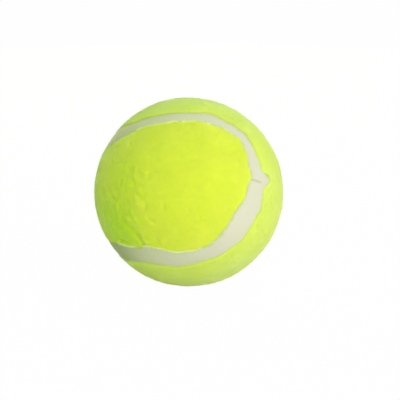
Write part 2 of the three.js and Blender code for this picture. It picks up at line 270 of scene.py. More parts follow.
class NapSizes(bpy.types.PropertyGroup):
    """Numbers and sizes of the fibres on the felt."""

    fibres: count_setting("Fibres", "Matted fibres on each panel", 40000)
    hairs: count_setting("Hairs", "Loose hairs that stand up on each panel", 6500)
    fringe: count_setting("Fringe", "Fibres that lean over each panel's cut edge", 4500)
    fibre_length: length_setting("Fibre Length", "Length of a matted fibre", 2.0 * MM)
    fibre_width: length_setting("Fibre Width", "Thickness of a fibre", 0.06 * MM)
    hair_width: length_setting("Hair Width", "Thickness of a loose hair", 0.035 * MM)
    fibre_soft: share_setting("Fibre Softness", "How far it shades as the felt below", 0.45, 1.0)
    fibre_flat: share_setting("Fibre Flatness", "Its height over its width", 0.4, 1.0)
    fibre_arch: length_setting("Fibre Arch", "How high a matted fibre bows up", 0.05 * MM)
    hair_rise: length_setting("Hair Rise", "How high a loose hair stands", 0.55 * MM)
    parts: count_setting("Parts", "Meshes that each panel's nap is split into", 4)
    seed: count_setting("Seed", "Picks where each fibre lies", 7)


class BallColours(bpy.types.PropertyGroup):
    """Colours of the ball's materials."""

    felt_bright: colour_setting("Felt Bright", "The felt's fluorescent face", (0.885, 0.94, 0.066))
    felt_deep: colour_setting("Felt Deep", "Deep in the nap", (0.815, 0.915, 0.042))
    # Painted sheen: panel B painted paler, as its grazing sheen looks towards the outline.
    felt_faded: colour_setting("Felt Faded", "Panel B's paler felt", (0.815, 0.942, 0.128))
    # Painted shade: the greener, darker tint of the felt's shaded left side.
    felt_green: colour_setting("Felt Green", "Where it has gone greener", (0.68, 0.90, 0.0))
    # Painted shade on the rolled cut edge, darkening it against the light on its lip.
    felt_dull: colour_setting("Felt Dull", "The cut edge where it is worn", (0.78, 0.86, 0.11))
    # Partly the pale cut fibres, partly a painted highlight where the curled lip catches light.
    felt_edge: colour_setting("Felt Edge", "The pale fibres of the cut edge", (1.0, 1.0, 0.7))
    felt_tips: colour_setting("Felt Tips", "The tips of its loose hairs", (0.90, 0.96, 0.22))
    strip_pale: colour_setting("Strip Pale", "The seam strip", (0.758, 0.71, 0.59))
    strip_warm: colour_setting("Strip Warm", "The seam strip's warmer patches", (0.768, 0.72, 0.55))
    # Also the painted shade in the strip's crease and on its shaded left side.
    strip_dust: colour_setting("Strip Dust", "Dust in its crease and on it", (0.41, 0.43, 0.22))
    core_rubber: colour_setting("Core Rubber", "The moulded core", (0.07, 0.069, 0.062))
    cement: colour_setting("Cement", "The dried rubber cement", (0.65, 0.58, 0.42))


class StageSettings(bpy.types.PropertyGroup):
    """The camera and the light."""

    camera_distance: length_setting("Camera Distance", "From the ball's centre", 0.39, 0.1, 5.0)
    camera_height: FloatProperty(
        name="Camera Height", description="Angle above the level", default=math.radians(12),
        subtype="ANGLE", unit="ROTATION",
    )
    ball_place: FloatVectorProperty(
        name="Ball Place", description="The ball's middle in the photograph, in pixels from the "
        "left and from the top", default=(188.7, 192.0), size=2,
    )
    ball_pixels: share_setting("Ball Pixels", "The ball's radius in the photograph", 94.1, 400)
    key_strength: share_setting("Key Strength", "Brightness it gives a white face", 1.175)
    back_strength: share_setting("Back Strength", "Brightness it gives a white face", 0.5)
    side_strength: share_setting("Side Strength", "Brightness it gives a white face", 0.25)
    room_strength: share_setting("Room Strength", "Brightness it gives a white face", 0.4)
    room_slope: share_setting("Room Slope", "How much more of it comes from the key's side", 0.55)
    key_colour: colour_setting("Key Colour", "The large lamp", (0.88, 0.685, 1.0))
    side_colour: colour_setting("Side Colour", "The lamp at the right", (0.67, 0.42, 1.0))
    back_colour: colour_setting("Back Colour", "The lamp behind", (1.0, 0.84, 0.55))
    room_colour: colour_setting("Room Colour", "The light from all round", (0.42, 1.0, 0.17))
    floor_white: share_setting("Floor White", "Share of the floor seen as plain white", 0.985, 1.0)


def level(azimuth):
    """The level direction at an azimuth."""
    return np.stack([np.cos(azimuth), np.sin(azimuth), np.zeros_like(azimuth)], -1)


def dot(first, second):
    """The scalar product of vectors, one for each row."""
    return (first * second).sum(-1)


def unit(vectors):
    """The vectors at length one."""
    return vectors / np.linalg.norm(vectors, axis=-1, keepdims=True)


def ease(value, start, end):
    """0 up to start, 1 from end, and 3t²-2t³ of the share t between them."""
    share = np.clip((value - start) / (end - start), 0, 1)
    return share * share * (3 - 2 * share)


def fade_out(value, start, end):
    """1 up to start and 0 from end, eased between them."""
    return ease(-value, -end, -start)


def hump(value, middle, reach):
    """1 at the middle, falling off by the exponential of minus the squared distance in reaches."""
    return np.exp(-(((value - middle) / reach) ** 2))


def curve_through(places, values, at):
    """A smooth curve through rows of values, held level past the first and last row.

    Between two rows it is the cubic with their values and slopes. A row's slope is the mean of the
    straight slopes on its two sides.
    """
    at = np.clip(at, places[0], places[-1])
    rise = np.diff(values) / np.diff(places)
    slope = (np.r_[rise[:1], rise] + np.r_[rise, rise[-1:]]) / 2
    row = np.clip(np.searchsorted(places, at, side="right") - 1, 0, len(places) - 2)
    span = places[row + 1] - places[row]
    t = (at - places[row]) / span
    start = values[row] * (1 + 2 * t) + slope[row] * span * t
    end = values[row + 1] * (3 - 2 * t) + slope[row + 1] * span * (t - 1)
    return start * (1 - t) ** 2 + end * t**2


def cloud(points, name, shift=0):
    """Smooth random values from -1 to 1 at points in space, with the size and seed of a row.

    Random numbers stand at the corners of cubes, in a block that repeats. The value at a point is
    the mix of its cube's eight corners, each weighted by the product of three eases 3t²-2t³.
    """
    size, seed = CLOUDS[name]
    corners = np.random.default_rng(seed + shift).uniform(-1, 1, (CLOUD_BLOCK,) * 3)
    at = points / size + CLOUD_START
    cell = np.floor(at).astype(int)
    part = ease(at - cell, 0, 1)
    total = 0
    for corner in np.ndindex(2, 2, 2):
        weight = np.where(corner, part, 1 - part).prod(-1)
        x, y, z = np.moveaxis((cell + corner) % CLOUD_BLOCK, -1, 0)
        total = total + weight * corners[x, y, z]
    return total


def make_lobes():
    """The four lobes: the seam is four equal arcs, each round the middle of a lobe.

    Even lobes belong to panel A, whose side is +1 and whose waist is up, and odd ones to panel B.
    A lobe's middle lies at the lobe angle from its panel's waist. Away points from the middle away
    from the waist, and across is square to both. Start and end are the angles of its arc's ends,
    and outward is the level direction at its azimuth.
    """
    index = np.arange(4)
    side = np.where(index % 2 == 0, 1.0, -1.0)
    azimuth = (index - 0.5) * np.pi / 2
    waist = side[:, None] * [0.0, 0.0, 1.0]
    middle = level(azimuth) * math.sin(LOBE_ANGLE) + waist * math.cos(LOBE_ANGLE)
    away = unit(middle * dot(middle, waist)[:, None] - waist)
    across = np.cross(middle, away)
    ends = [level(azimuth - np.pi / 4), level(azimuth + np.pi / 4)]
    start, end = (np.arctan2(dot(corner, across), dot(corner, away)) for corner in ends)
    return {
        "side": side, "middle": middle, "away": away, "across": across, "start": start,
        "end": end, "outward": level(azimuth),
    }


LOBES = make_lobes()
ARC_POLAR = math.acos(math.sin(LOBE_ANGLE) / math.sqrt(2))


def outward_of(side):
    """The level direction of the first lobe of a panel."""
    return LOBES["outward"][0 if side > 0 else 1]


class Cover:
    """The cover's shape, in millimetres and in its own frame."""

    def __init__(self, sizes):
        for name in CoverSizes.__annotations__:
            scale = MM if sizes.bl_rna.properties[name].unit == "LENGTH" else 1
            setattr(self, name, getattr(sizes, name) / scale)
        self.arc_length = self.ball_radius * math.sin(ARC_POLAR)
        self.arc_length *= abs(LOBES["end"][0] - LOBES["start"][0])
        self.seam_length = 4 * self.arc_length
        self.strip_top = self.ball_radius - self.strip_recess
        tilt, roll, turn = (
            np.array(Matrix.Rotation(angle, 3, axis)) for angle, axis in zip(COVER_TURN, "XYZ"))
        self.turn = tilt @ roll @ turn
        marks = np.array(FELT_MARKS)
        self.mark_starts = self.faced(marks[:, 0], marks[:, 1])
        self.mark_ends = self.faced(marks[:, 2], marks[:, 3])
        self.mark_widths, self.mark_rises = MARK_WIDENING * marks[:, 4], marks[:, 5]

    def faced(self, azimuth, height):
        """The cover's direction at an azimuth and height of the ball, in degrees."""
        azimuth, height = np.radians(azimuth), np.radians(height)
        out = np.cos(height)
        way = [np.sin(azimuth) * out, -np.cos(azimuth) * out, np.sin(height)]
        return np.stack(way, -1) @ self.turn

    def wrapped(self, along):
        """A place along the seam, brought within half the seam's length of the join."""
        half = self.seam_length / 2
        return np.mod(along + half, self.seam_length) - half

    def seam_frame(self, along):
        """The seam's true line at places along it: the lobe, the direction from the ball's centre,
        and the direction over the ball from there to panel A.

        Each arc is a circle at the arc's polar angle round its lobe's middle.
        """
        arcs = np.mod(along / self.arc_length + JOIN_LOBE + 0.5, 4)
        lobe = np.minimum(np.floor(arcs).astype(int), 3)
        start, end = LOBES["start"][lobe], LOBES["end"][lobe]
        angle = (start + (end - start) * (arcs - lobe))[..., None]
        spoke = np.cos(angle) * LOBES["away"][lobe] + np.sin(angle) * LOBES["across"][lobe]
        middle = LOBES["middle"][lobe]
        point = math.cos(ARC_POLAR) * middle + math.sin(ARC_POLAR) * spoke
        to_middle = math.sin(ARC_POLAR) * middle - math.cos(ARC_POLAR) * spoke
        return lobe, point, LOBES["side"][lobe][..., None] * to_middle

    def beside(self, along, offset):
        """The direction from the ball's centre to a point beside the seam, where offset is measured
        over the felt, towards panel A."""
        _, point, to_a = self.seam_frame(along)
        angle = (offset / self.ball_radius)[..., None]
        return np.cos(angle) * point + np.sin(angle) * to_a

    def place_of(self, direction):
        """The inverse of beside: the place along the seam nearest a direction, and its offset.

        Arcs of panel A's lobes lie in the lower half and arcs of panel B's in the upper half, so
        the half picks two arcs and the nearer lobe's middle picks one. It holds near the seam.
        """
        near = direction @ LOBES["middle"].T
        lower = direction[..., 2:] < 0
        lobe = np.where((LOBES["side"] > 0) == lower, near, -2).argmax(-1)
        angle = np.arctan2(
            dot(direction, LOBES["across"][lobe]), dot(direction, LOBES["away"][lobe]))
        start, end = LOBES["start"][lobe], LOBES["end"][lobe]
        share = np.clip((angle - start) / (end - start), 0, 1)
        along = self.wrapped((lobe + share - JOIN_LOBE - 0.5) * self.arc_length)
        polar = np.arccos(np.clip(dot(direction, LOBES["middle"][lobe]), -1, 1))
        return along, LOBES["side"][lobe] * (ARC_POLAR - polar) * self.ball_radius

    def strip_reach(self, along):
        """The strip's reach from the true line towards panel A and towards panel B: a slow drift
        about its true width, and near the join the rows."""
        along = self.wrapped(along)
        turn = 2 * np.pi * along / self.seam_length
        drift = self.strip_drift * (np.sin(3 * turn) + np.sin(7 * turn)) / 2
        true = self.strip_half_width + self.strip_drift * np.cos(5 * turn) / 2
        places, near_a, near_b = np.array(STRAY_ROWS, float).T
        beyond = np.where(along < 0, places[0] - along, along - places[-1])
        far = ease(beyond, 0, STRAY_FADE)
        to_a = curve_through(places, near_a, along) * (1 - far) + (true + drift) * far
        to_b = curve_through(places, near_b, along) * (1 - far) + (true - drift) * far
        return to_a, to_b

    def reach(self, along, side):
        """The strip's reach towards one panel."""
        return self.strip_reach(along)[0 if side > 0 else 1]

    def groove(self, along, side):
        """How far the groove reaches towards a panel: the strip's reach and the clearance, square
        to the strip's side where that runs aslant."""
        near = 0.05
        slope = (self.reach(along + near, side) - self.reach(along - near, side)) / (2 * near)
        return self.reach(along, side) + self.strip_clearance * np.hypot(1, slope)

    def ring_place(self, along):
        """A place along the seam as a point of a level ring as long as the seam."""
        around = 2 * np.pi * along / self.seam_length
        return level(around) * self.seam_length / (2 * np.pi)

    def set_back(self, along, side):
        """How far a panel's cut edge stands back from the true line: the groove's reach and a small
        wander. Its two clouds reach 1.6 together, and 0.6 brings that to about one."""
        ring = self.ring_place(along)
        wander = cloud(ring, "edge wander", side) + 0.6 * cloud(ring, "small edge wander", side)
        return self.groove(along, side) + self.edge_wander * wander * 0.6

    def spine_point(self, along, side):
        """The point of a panel's spine that a place on its edge faces: the lobe's middle along the
        lobe's own arc, and a point that moves from lobe to lobe beside the waist."""
        lobe, point, _ = self.seam_frame(along)
        waist = np.array([0.0, 0.0, side])
        outward = outward_of(side)
        polar = np.arctan2(point @ outward, point @ waist) * LOBE_ANGLE / (np.pi / 2)
        beside_waist = np.cos(polar)[..., None] * waist + np.sin(polar)[..., None] * outward
        own = (LOBES["side"][lobe] == side)[..., None]
        return np.where(own, LOBES["middle"][lobe], beside_waist)

    def edge_fall(self, inset):
        """How far a panel's face lies below the ball's radius at a distance in from its cut edge: a
        quarter of an ellipse from the end of the roll to the lip."""
        reach = np.clip((inset + self.edge_lip) / (self.edge_roll + self.edge_lip), 0, 1)
        return self.edge_depth * (1 - np.sqrt(1 - (1 - reach) ** 2))

    def marks_at(self, direction):
        """Rise of the marks at directions. Each mark is a line over the felt, and its rise is a
        hump over the distance from it."""
        rise = np.zeros(direction.shape[:-1])
        marks = zip(self.mark_starts, self.mark_ends, self.mark_widths, self.mark_rises)
        for start, end, width, height in marks:
            line = end - start
            share = np.clip((direction - start) @ line / max(line @ line, 1e-12), 0, 1)
            away = np.linalg.norm(direction - start - share[..., None] * line, axis=-1)
            rise += height * hump(away * self.ball_radius, 0, width)
        return rise

    def frayed(self, along, side):
        """How much of the pale fibres shows at a place of a panel's cut edge: all of them along the
        frayed stretches, none elsewhere beside the join, and patches on the far side. Their colour
        is partly a painted highlight."""
        along = self.wrapped(along)
        patches = ease(cloud(self.ring_place(along), "fraying", side), 0.1, 0.6)
        share = 0.4 * patches * ease(np.abs(along), *FAR_SIDE)
        for start, end in FRAYED if side > 0 else ():
            inside = np.minimum(along - start, end - along)
            share = np.maximum(share, ease(inside, -0.4, 0.4))
        return share

    def away(self, direction, place):
        """How far directions lie over the ball from an azimuth and height."""
        return np.linalg.norm(direction - self.faced(*place), axis=-1) * self.ball_radius

    def green(self, direction):
        """How far the felt is painted greener and darker at directions, as painted shade on its
        shaded left side: each part is full up to 2 mm from its middle and eases to nothing at its
        radius, with a ragged border."""
        ragged = 3 * cloud(direction * self.ball_radius, "green border")
        share = np.zeros(direction.shape[:-1])
        for azimuth, height, radius, most in PAINTED_SHADE_PATCHES:
            away = self.away(direction, (azimuth, height)) + ragged
            share = np.maximum(share, most * fade_out(away, 2, radius))
        return share

    def faded(self, direction, side):
        """How far the felt is painted paler, as painted sheen: unevenly on panel B, and not at all
        on panel A.
        """
        uneven = 0.8 + 0.4 * cloud(direction * self.ball_radius, "uneven sheen")
        return np.clip(uneven, 0, 1) * (side < 0)

    def felt_values(self, direction, inset, frayed, side):
        """What the felt's materials read at points: the distance in from the cut edge in metres,
        how frayed that is there, how far it is painted greener as shade, and how far it is painted
        paler as sheen."""
        return {
            "from_edge": inset * MM, "frayed": frayed, "green": self.green(direction),
            "faded": self.faded(direction, side),
        }

    def felt_height(self, direction):
        """Unevenness of the felt's face: broad swells, small lumps where it is pilled and in
        patches away from the smooth part, and a fine grain."""
        spots = direction * self.ball_radius
        swell = cloud(spots, "felt swell") + 0.5 * cloud(spots, "small swell")
        patch = ease(cloud(spots, "pilling"), -0.4, 0.7)
        patch = patch * ease(self.away(direction, SMOOTH), *SMOOTH_END)
        patch = np.maximum(patch, fade_out(self.away(direction, PILLED), *PILLED_END))
        lumps = cloud(spots, "lumps") + 0.6 * cloud(spots, "small lumps")
        rough = lumps * (0.1 + 0.9 * patch) + 0.1 * cloud(spots, "felt grain")
        rough = self.lump_height * rough
        return self.swell_height * swell + rough + self.mark_scale * self.marks_at(direction)

    def face_radius(self, direction, inset, frayed):
        """Distance of a panel's face from the ball's centre. A frayed edge curls up, and the felt
        sinks a little behind it."""
        fade = ease(inset, -0.2, 1.0)
        curl = hump(inset, 0.2, 0.32) - 0.4 * hump(inset, 1.1, 0.5)
        height = self.felt_height(direction) * fade + self.lip_rise * curl * frayed
        return self.ball_radius - self.edge_fall(inset) + height

    def strip_radius(self, along, offset):
        """Distance of the strip's face from the ball's centre, at an offset towards panel A.

        The crown falls to the strip's two edges by a power of the share across. Past the join the
        face dips into a crease, which fades towards panel B, and beyond it the face swells at panel
        B's side. Before the join it stands a little proud. Two clouds make it uneven all over.
        """
        across = self.share_across(along, offset)
        crown = self.strip_crown * np.abs(across) ** 2.4
        past = along - self.join_line(along, offset)
        crease = self.crease(along, offset)
        proud = 0.06 * hump(past, -0.55, 0.4) * ease(across, -0.9, 0.0)
        swelling = hump(past, 1.2, 1.5) * hump(offset, -4.2, 1.9)
        spots = self.beside(along, offset) * self.ball_radius
        uneven = 0.05 * cloud(spots, "strip swell") + 0.02 * cloud(spots, "strip grain")
        top = self.strip_top - crown + uneven + proud
        return top - self.join_crease * crease + self.join_bulge * swelling

    def share_across(self, along, offset):
        """Where an offset lies across the strip: -1 at panel B's side and 1 at panel A's."""
        to_a, to_b = self.strip_reach(along)
        return np.clip((2 * offset - to_a + to_b) / (to_a + to_b), -1, 1)

    def crease(self, along, offset):
        """How deep a point lies in the crease at the join, from 0 to 1: it falls off steeply before
        the join's line, gently past it, and across the strip towards panel B."""
        past = along - self.join_line(along, offset)
        slope = hump(past, 0, np.where(past > 0, 0.75, 0.25))
        return slope * ease(self.share_across(along, offset), -0.6, 0.2)

    def dust(self, along):
        """How far the strip is painted towards its dust colour at a place along it, from 0 to 1:
        most of all where the rows say, whose two strongest are painted shade, and in faint patches
        of dust on the far side."""
        along = self.wrapped(along)
        share = 0.15 * ease(cloud(self.ring_place(along), "strip dust"), 0.0, 0.8)
        share = share * ease(np.abs(along), *FAR_SIDE)
        for place, reach, most in STRIP_DARKENING:
            share = np.maximum(share, most * hump(along, place, reach))
        return share

    def join_line(self, along, offset):
        """How far along the seam the leaning join has moved a point, at an offset towards A: the
        slant times the offset and 0.55 mm more, by a hump about the join."""
        return (0.55 + self.join_slant * offset) * hump(along, 0, 2.5)

    def turned(self, points):
        """Points of the cover turned on the core, in metres."""
        return points @ self.turn.T * MM


def ring_band(places_a, places_b, first_a, first_b, length):
    """Triangles between two closed rings of points. They are stepped round together, in the order
    of their points' places, and each step closes one triangle."""
    steps = np.r_[places_a[1:], places_a[0] + length, places_b[1:], places_b[0] + length]
    order = np.argsort(steps, kind="stable")
    on_a = order < len(places_a)
    step_a = np.cumsum(on_a) - on_a
    step_b = np.cumsum(~on_a) - ~on_a
    here_a = first_a + step_a % len(places_a)
    here_b = first_b + step_b % len(places_b)
    next_a = first_a + (step_a + 1) % len(places_a)
    next_b = first_b + (step_b + 1) % len(places_b)
    return np.stack([here_a, here_b, np.where(on_a, next_a, next_b)], 1)


def merged(points, triangles, *values):
    """Points that coincide become one, and triangles that this leaves without an area go."""
    _, first, new = np.unique(points.round(6), axis=0, return_index=True, return_inverse=True)
    triangles = new.reshape(-1)[triangles]
    p, q, r = triangles.T
    kept = (p != q) & (q != r) & (r != p)
    return points[first], triangles[kept], *(value[first] for value in values)


def part_way(start, end, share):
    """The direction a share of the way over the ball from one direction to another."""
    angle = np.arccos(np.clip(dot(start, end), -1, 1))[..., None]
    return (np.sin((1 - share) * angle) * start + np.sin(share * angle) * end) / np.sin(angle)


def even_places(cover, line, step):
    """Places along the seam at which a ring's points stand evenly spaced: line gives a direction
    for each place, and its running length, measured at 4000 steps, is shared out equally."""
    fine = np.linspace(-cover.seam_length / 2, cover.seam_length / 2, 4001)
    steps = np.linalg.norm(np.diff(line(fine), axis=0), axis=1) * cover.ball_radius
    length = np.r_[0, np.cumsum(steps)]
    least = 12
    count = max(least, math.ceil(length[-1] / step))
    return np.interp(np.arange(count) * length[-1] / count, length, fine)


def spine_places(cover, side, step):
    """Places whose spine points coincide in pairs from the two sides of the waist. They lie on the
    other panel's arcs, and a hair's breadth inside their ends."""
    count = math.ceil(2 * LOBE_ANGLE * cover.ball_radius / step)
    arcs = np.flatnonzero(LOBES["side"] != side)
    share = np.linspace(1e-9, 1 - 1e-9, count + 1)
    along = (arcs[:, None] + share - JOIN_LOBE - 0.5) * cover.arc_length
    return np.sort(cover.wrapped(along).ravel())


def panel_ring(cover, side, inset, share, step, radius=None):
    """One ring of a panel: its points, their places along the seam, and their distance in from the
    cut edge.

    A point lies a share of the way over the ball from the cut edge, or from an inset in from it, to
    the spine. It stands at that radius, or else on the panel's face.
    """
    def line(along):
        edge = cover.beside(along, side * (cover.set_back(along, side) + inset))
        return part_way(edge, cover.spine_point(along, side), share)

    along = spine_places(cover, side, step) if share == 1 else even_places(cover, line, step)
    direction = line(along)
    edge = cover.beside(along, side * (cover.set_back(along, side) + inset))
    gone = inset + np.arccos(np.clip(dot(edge, direction), -1, 1)) * cover.ball_radius
    if radius is None:
        radius = cover.face_radius(direction, gone, cover.frayed(along, side))[:, None]
    return direction * radius, along, gone


def felt_panel(cover, side):
    """A panel of felt: its points, its triangles, and what its material reads at each point.

    Rings run from the spine over the face, round the swollen lip, down the cut, and back over the
    inner face to the spine.
    """
    step, roll, lip = cover.felt_step, cover.edge_roll, cover.edge_lip
    inner = cover.ball_radius - cover.felt_thickness
    widest = cover.ball_radius - cover.edge_depth
    face_rings = math.ceil(FACE_REACH / step)
    rings = [
        *(panel_ring(cover, side, roll, share, step) for share in np.linspace(1, 0, face_rings)),
        *(panel_ring(cover, side, (roll + lip) * (1 - math.sin(lean)) - lip, 0, step)
          for lean in np.linspace(0, np.pi / 2, LIP_RINGS + 1)[1:]),
        *(panel_ring(cover, side, -swell * lip, 0, spacing * step, widest - depth)
          for swell, depth, spacing in CUT_RINGS),
        panel_ring(cover, side, 0, 0, 2.2 * step, inner),
        *(panel_ring(cover, side, roll, share, 4 * step, inner)
          for share in np.linspace(0, 1, INNER_RINGS)),
    ]
    points, places, insets = zip(*rings)
    first = np.r_[0, np.cumsum([len(ring) for ring in places])]
    bands = [
        ring_band(places[i], places[i + 1], first[i], first[i + 1], cover.seam_length)
        for i in range(len(rings) - 1)
    ]
    frayed = cover.frayed(np.concatenate(places), side)
    points, triangles, insets, frayed = merged(
        np.concatenate(points), np.concatenate(bands), np.concatenate(insets), frayed)
    values = cover.felt_values(unit(points), insets, frayed, side)
    return points, triangles[:, ::side], values


def seam_strip(cover):
    """The seam strip: a section carried along the whole seam, from one side of its join round to
    the other, with both ends closed, and how far each of its points is painted towards the dust
    colour, as dust and as painted shade.

    The section's points run over the crown from panel B's side to panel A's, down the side, and
    back along the bottom, which has every fifth point of the crown. The crown's radius comes from
    the cover. Near the join the rows' distance from it grows by a power of their share.
    """
    half = cover.seam_length / 2
    near = JOIN_GAP / 2 + CLOSE_STRETCH * np.linspace(0, 1, CLOSE_ROWS) ** 1.5
    far = np.linspace(near[-1], half, math.ceil((half - near[-1]) / cover.strip_step))
    one_way = np.r_[near, far[1:]]
    along = np.r_[one_way, -one_way[-2::-1]]
    across = np.sin(np.linspace(-np.pi / 2, np.pi / 2, CROWN_POINTS))
    to_a, to_b = cover.groove(along, 1), cover.groove(along, -1)
    middle, half_width = (to_a - to_b) / 2, (to_a + to_b) / 2
    offset = middle[:, None] + half_width[:, None] * across
    line = along[:, None] + cover.join_line(along[:, None], offset)
    top = cover.beside(line, offset) * cover.strip_radius(line, offset)[..., None]
    floor = cover.strip_top - cover.strip_depth
    under = cover.beside(line[:, ::-5], offset[:, ::-5]) * floor
    sections = np.concatenate([top, under], 1)
    rows, columns = sections.shape[:2]
    row, column = np.mgrid[0:rows - 1, 0:columns].reshape(2, -1)
    here, beside = row * columns + column, row * columns + (column + 1) % columns
    first_half = np.stack([here, beside, beside + columns], 1)
    second_half = np.stack([here, beside + columns, here + columns], 1)
    ring, following = np.arange(columns), (np.arange(columns) + 1) % columns
    last = (rows - 1) * columns
    start_middle = np.full(columns, rows * columns)
    start = np.stack([following, ring, start_middle], 1)
    end = np.stack([last + ring, last + following, start_middle + 1], 1)
    middles = sections[[0, -1]].mean(1)
    points = np.concatenate([sections.reshape(-1, 3), middles])
    # Painted shade in the crease at the join and on the shaded stretches, together with the far
    # side's dust.
    dust = np.maximum(0.6 * cover.crease(line, offset), cover.dust(along)[:, None])
    dust = np.concatenate([dust, np.zeros_like(under[..., 0])], 1)
    dust = np.r_[dust.ravel(), 0, 0]
    return points, np.concatenate([first_half, second_half, start, end]), dust


def fibre_starts(cover, nap, side):
    """Where fibres start, which way they run, and how they rise, for the three kinds on one panel.

    Matted fibres follow a slow swirl and have both ends tucked in. Hairs run any way and end in the
    air. Fringe fibres start by the cut edge and lean over it. Three times the directions needed
    are drawn, because many of them miss the panel.
    """
    rng = np.random.default_rng([nap.seed, int(side > 0)])
    face = unit(rng.normal(size=(3 * (nap.fibres + nap.hairs), 3)))
    along, offset = cover.place_of(face)
    on_panel = side * offset - cover.set_back(along, side) > MAT_INSET
    face = face[on_panel][:nap.fibres + nap.hairs]
    slanted_axis = [0.3, 0.5, 0.8]
    east = unit(np.cross(face, slanted_axis))
    swirl = 2.5 * cloud(face * cover.ball_radius, "nap swirl") + rng.normal(0, 0.9, len(face))
    loose = np.arange(len(face)) >= nap.fibres
    swirl = np.where(loose, rng.uniform(0, 2 * np.pi, len(face)), swirl)[:, None]
    run = np.cos(swirl) * east + np.sin(swirl) * np.cross(face, east)

    place = rng.uniform(-0.5, 0.5, nap.fringe) * cover.seam_length
    inset = rng.uniform(0.0, FRINGE_INSET, nap.fringe)
    fringe = cover.beside(place, side * (cover.set_back(place, side) + inset))
    over = -side * cover.seam_frame(place)[2]
    over = unit(over - fringe * dot(over, fringe)[:, None])
    lean = rng.normal(0, 0.8, nap.fringe)[:, None]
    lean_run = np.cos(lean) * over + np.sin(lean) * np.cross(fringe, over)

    start = np.concatenate([face, fringe])
    heading = np.concatenate([run, lean_run])
    kind = np.r_[np.where(loose, HAIR, MATTED), np.full(nap.fringe, FRINGE)]
    rise = FIBRE_RISES[kind] * rng.uniform(0.3, 1.0, (len(kind), 4))
    length = FIBRE_LENGTHS[kind] * rng.uniform(0.6, 1.3, len(kind))
    return start, heading, length, rise, kind, rng


def nap_fibres(cover, nap, side):
    """The nap of one panel: each fibre's eight points, their normals, and what the nap's material
    reads at each point: what the felt's does, its fibre's tone from 0 to 1, and its share of the
    pale tips.

    A fibre's line runs over the ball from its start along its heading and bows sideways by a half
    sine. Its four points stand on the felt, raised by its rise. The two inner ones become rings of
    three points, and the two ends stay single, so that it is closed and pointed. The normals lean
    from the fibre's own roundness towards up, because matted fibres shade as one soft face.
    """
    start, heading, length, rise, kind, rng = fibre_starts(cover, nap, side)
    share = np.linspace(0, 1, 4)
    angle = (length[:, None] * share * nap.fibre_length / MM / cover.ball_radius)[..., None]
    bow = rng.normal(0, 0.16, len(start))[:, None] * length[:, None] * np.sin(np.pi * share)
    bow = (bow * nap.fibre_length / MM / cover.ball_radius)[..., None]
    sideways = np.cross(start, heading)[:, None]
    direction = unit(
        np.cos(angle) * start[:, None] + np.sin(angle) * heading[:, None] + bow * sideways)
    along, offset = cover.place_of(direction)
    inset = side * offset - cover.set_back(along, side)
    frayed = cover.frayed(along, side)
    ground = np.where(
        inset > -cover.edge_lip, cover.face_radius(direction, inset, frayed),
        cover.strip_radius(along, offset) + STRIP_LIFT)
    ground = np.maximum(ground, cover.strip_top - DEEPEST_DIP)
    hair = kind == HAIR
    arch = np.where(hair, nap.hair_rise / FIBRE_RISES[HAIR, -1], nap.fibre_arch)[:, None] / MM
    centre = direction * (ground + rise * arch)[..., None]

    line = unit(centre[:, 2:] - centre[:, :-2])
    up = direction[:, 1:-1]
    up = unit(up - line * dot(up, line)[..., None])
    aside = np.cross(line, up)
    width = np.where(hair, nap.hair_width, nap.fibre_width) / MM
    thick = (width / 2 * rng.uniform(0.7, 1.2, (2, len(start)))).T[..., None, None]
    turn = (2 * np.pi * np.arange(3) / 3)[:, None]
    up, aside = up[:, :, None], aside[:, :, None]
    rings = centre[:, 1:-1, None] + thick * (
        nap.fibre_flat * np.cos(turn) * up + np.sin(turn) * aside)
    around = np.cos(turn) * up + np.sin(turn) * aside
    facing_out = unit(nap.fibre_soft * up + (1 - nap.fibre_soft) * around)
    normals = np.concatenate([
        up[:, 0], facing_out.reshape(len(start), 6, 3), up[:, 1]], 1)
    points = np.concatenate(
        [centre[:, :1], rings.reshape(len(start), 6, 3), centre[:, -1:]], 1)
    ring = [0, 1, 1, 1, 2, 2, 2, 3]
    values = cover.felt_values(direction, inset, frayed, side)
    values = {name: value[:, ring] for name, value in values.items()}
    values["tone"] = rng.uniform(0, 1, len(start))[:, None] * np.ones(len(ring))
    values["pale"] = np.where(hair, 1.0, 0.0)[:, None] * share[ring]
    return points, normals, values


# One fibre's triangles, by the numbers of its eight points: one end, two rings of three, one end.
FIBRE_TRIANGLES = np.array([
    (0, 2, 1), (0, 3, 2), (0, 1, 3),
    (1, 2, 5), (1, 5, 4), (2, 3, 6), (2, 6, 5), (3, 1, 4), (3, 4, 6),
    (7, 4, 5), (7, 5, 6), (7, 6, 4),
])
# The same points in a fibre's own square of the map.
FIBRE_MAP = np.array([
    (0.5, 0), (0, 0.33), (0.5, 0.33), (1, 0.33), (0, 0.67), (0.5, 0.67), (1, 0.67), (0.5, 1),
])


def fibre_cells(count):
    """A map for fibres: each gets its own small square of a grid, with a margin."""
    columns = math.ceil(math.sqrt(count))
    row, column = np.divmod(np.arange(count), columns)
    corner = np.stack([column, row], 1)[:, None]
    return (corner + 0.15 + 0.7 * FIBRE_MAP) / columns


def place_object(name, data):
    """A new object in the scene, at the origin."""
    piece = bpy.data.objects.new(name, data)
    bpy.context.scene.collection.objects.link(piece)
    return piece


